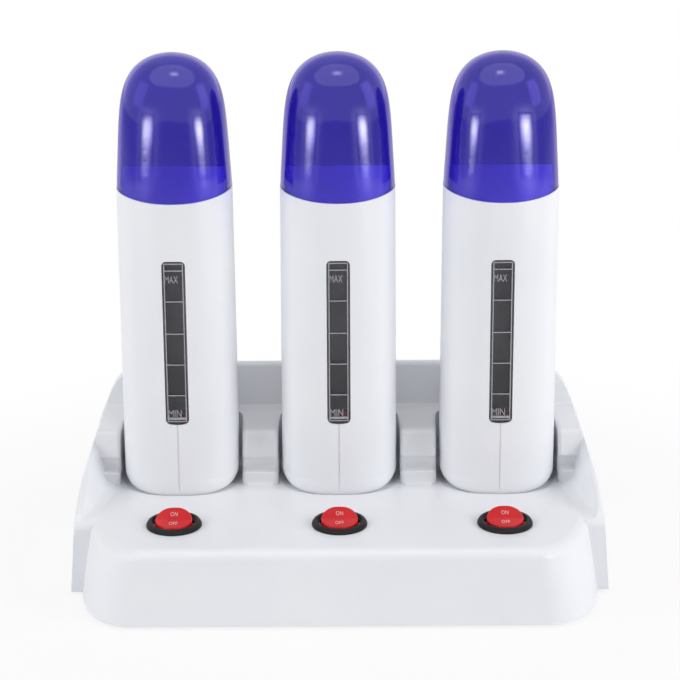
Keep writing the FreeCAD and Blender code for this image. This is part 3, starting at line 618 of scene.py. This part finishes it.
class WAXHEATER_OT_stage(bpy.types.Operator):
    """Sets up the floor, the soft lamps, the even light and the camera"""
    bl_idname = "waxheater.stage"
    bl_label = "Stage"

    def execute(self, context):
        s = context.scene.waxheater_studio
        build = bmesh.new()
        bmesh.ops.create_circle(build, cap_ends=True, segments=96, radius=s.floor_radius)
        mesh = bpy.data.meshes.new("floor")
        build.to_mesh(mesh)
        build.free()
        floor = bpy.data.objects.new("floor", mesh)
        context.scene.collection.objects.link(floor)
        # Painted board, rolled: near-white and matt. Away from the object a camera ray finds
        # plain white, so the board runs out into the background.
        paint = skin("board_painted_white", (s.floor, "#F2F2F3"), 90, (0.6, 0.7), 3.0, 0.01)
        tree = paint.node_tree
        out = next(n for n in tree.nodes if n.type == "OUTPUT_MATERIAL")
        body = out.inputs["Surface"].links[0].from_socket
        place = add(tree, "ShaderNodeTexCoord").outputs["Object"]
        away = add(tree, "ShaderNodeVectorMath", {0: place}, operation="LENGTH").outputs["Value"]
        fade = add(tree, "ShaderNodeMapRange", {
            "Value": away, "From Min": FLOOR_FADE[0], "From Max": FLOOR_FADE[1],
            "To Min": FLOOR_LEAST},
            interpolation_type="SMOOTHSTEP")
        ray = add(tree, "ShaderNodeLightPath")
        seen = add(tree, "ShaderNodeMath", {
            0: ray.outputs["Is Camera Ray"], 1: ray.outputs["Is Transmission Ray"]},
            operation="MAXIMUM")
        part = add(tree, "ShaderNodeMath", {
            0: seen.outputs[0], 1: fade.outputs[0]}, operation="MULTIPLY")
        white = add(tree, "ShaderNodeEmission", {"Strength": 1.0})
        mix = add(tree, "ShaderNodeMixShader", {0: part.outputs[0], 1: body, 2: white.outputs[0]})
        tree.links.new(mix.outputs[0], out.inputs["Surface"])
        mesh.materials.append(paint)

        world = bpy.data.worlds.new("studio")
        context.scene.world = world
        world.use_nodes = True
        tree = world.node_tree
        tree.nodes.clear()
        ray = add(tree, "ShaderNodeLightPath")
        seen = add(tree, "ShaderNodeMath", {
            0: ray.outputs["Is Camera Ray"], 1: ray.outputs["Is Glossy Ray"]}, operation="MAXIMUM")
        seen = add(tree, "ShaderNodeMath", {
            0: seen.outputs[0], 1: ray.outputs["Is Transmission Ray"]}, operation="MAXIMUM")
        strength = add(tree, "ShaderNodeMapRange", {
            "Value": seen.outputs[0], "To Min": s.sky, "To Max": 1.0})
        glow = add(tree, "ShaderNodeBackground", {
            "Color": (1, 1, 1, 1), "Strength": strength.outputs[0]})
        add(tree, "ShaderNodeOutputWorld", {"Surface": glow.outputs[0]})

        # The side lamps and the one overhead light the object and don't show in its gloss. The
        # strips, the faint halos round them and the canopy with its bright spot are what the
        # gloss shows, and they give no diffuse light.
        for turn, name, share in STRIP_SIDES:
            for kind, width, height, part in STRIP_SHEETS:
                lamp(kind + name, in_front(turn, STRIP_WAY, STRIP_Z, HEATERS_Y), STRIP_AIM, width,
                     height, s.strips * share * part, soft=True, diffuse=False)
        for turn, name, power in ((-SIDE_TURN, "left", s.left), (SIDE_TURN, "right", s.right)):
            lamp("side_" + name, in_front(turn, SIDE_WAY, SIDE_Z), AIM, SIDE_SIZE, SIDE_SIZE,
                 power, glossy=False)
        lamp("overhead", OVERHEAD, AIM, *OVERHEAD_SIZE, s.overhead, glossy=False)
        lamp("canopy", CANOPY, AIM, *CANOPY_SIZE, s.canopy, shape="ELLIPSE", diffuse=False)
        lamp("canopy_middle", CANOPY_SPOT, AIM, CANOPY_SPOT_SIZE, CANOPY_SPOT_SIZE,
             s.canopy * CANOPY_SPOT_SHARE, soft=True, diffuse=False)

        # Camera: above the horizon and square to the front, a long lens at about a metre.
        high, roll = math.radians(CAMERA_HIGH), math.radians(CAMERA_ROLL)
        target = Vector(CAMERA_AIM)
        camera = bpy.data.objects.new("camera", bpy.data.cameras.new("camera"))
        camera.data.sensor_width = 36.0
        camera.data.lens = s.lens
        camera.data.shift_y = CAMERA_SHIFT
        camera.data.dof.use_dof = False
        camera.location = target + CAMERA_WAY * Vector((0, -math.cos(high), math.sin(high)))
        look = (target - camera.location).to_track_quat("-Z", "Y").to_matrix()
        camera.rotation_euler = (look @ Matrix.Rotation(roll, 3, "Z")).to_euler()
        context.scene.collection.objects.link(camera)
        context.scene.camera = camera
        context.scene.view_settings.view_transform = "Standard"
        return {"FINISHED"}


OPERATORS = (
    WAXHEATER_OT_finishes, WAXHEATER_OT_base, WAXHEATER_OT_supply, WAXHEATER_OT_switches,
    WAXHEATER_OT_casings, WAXHEATER_OT_windows, WAXHEATER_OT_insides, WAXHEATER_OT_caps,
    WAXHEATER_OT_stage,
)


class WAXHEATER_PT_panel(bpy.types.Panel):
    """Lists the pieces of the wax heater and what may be changed on them"""
    bl_idname = "WAXHEATER_PT_panel"
    bl_label = "Wax heater"
    bl_space_type = "VIEW_3D"
    bl_region_type = "UI"
    bl_category = "Wax heater"

    def draw(self, context):
        for holder in (context.scene.waxheater_colours, context.scene.waxheater_sizes,
                       context.scene.waxheater_studio):
            box = self.layout.box()
            for key in holder.__annotations__:
                box.prop(holder, key)
        for made in OPERATORS:
            self.layout.operator(made.bl_idname)


CLASSES = (WaxHeaterColours, WaxHeaterSizes, WaxHeaterStudio) + OPERATORS + (WAXHEATER_PT_panel,)


def register():
    for made in CLASSES:
        bpy.utils.register_class(made)
    bpy.types.Scene.waxheater_colours = PointerProperty(type=WaxHeaterColours)
    bpy.types.Scene.waxheater_sizes = PointerProperty(type=WaxHeaterSizes)
    bpy.types.Scene.waxheater_studio = PointerProperty(type=WaxHeaterStudio)


def unregister():
    del bpy.types.Scene.waxheater_studio
    del bpy.types.Scene.waxheater_sizes
    del bpy.types.Scene.waxheater_colours
    for made in reversed(CLASSES):
        bpy.utils.unregister_class(made)


def main():
    register()
    bpy.ops.waxheater.finishes()
    bpy.ops.waxheater.base()
    bpy.ops.waxheater.supply()
    bpy.ops.waxheater.switches()
    bpy.ops.waxheater.casings()
    bpy.ops.waxheater.windows()
    bpy.ops.waxheater.insides()
    bpy.ops.waxheater.caps()
    bpy.ops.waxheater.stage()


if __name__ == "__main__":
    main()
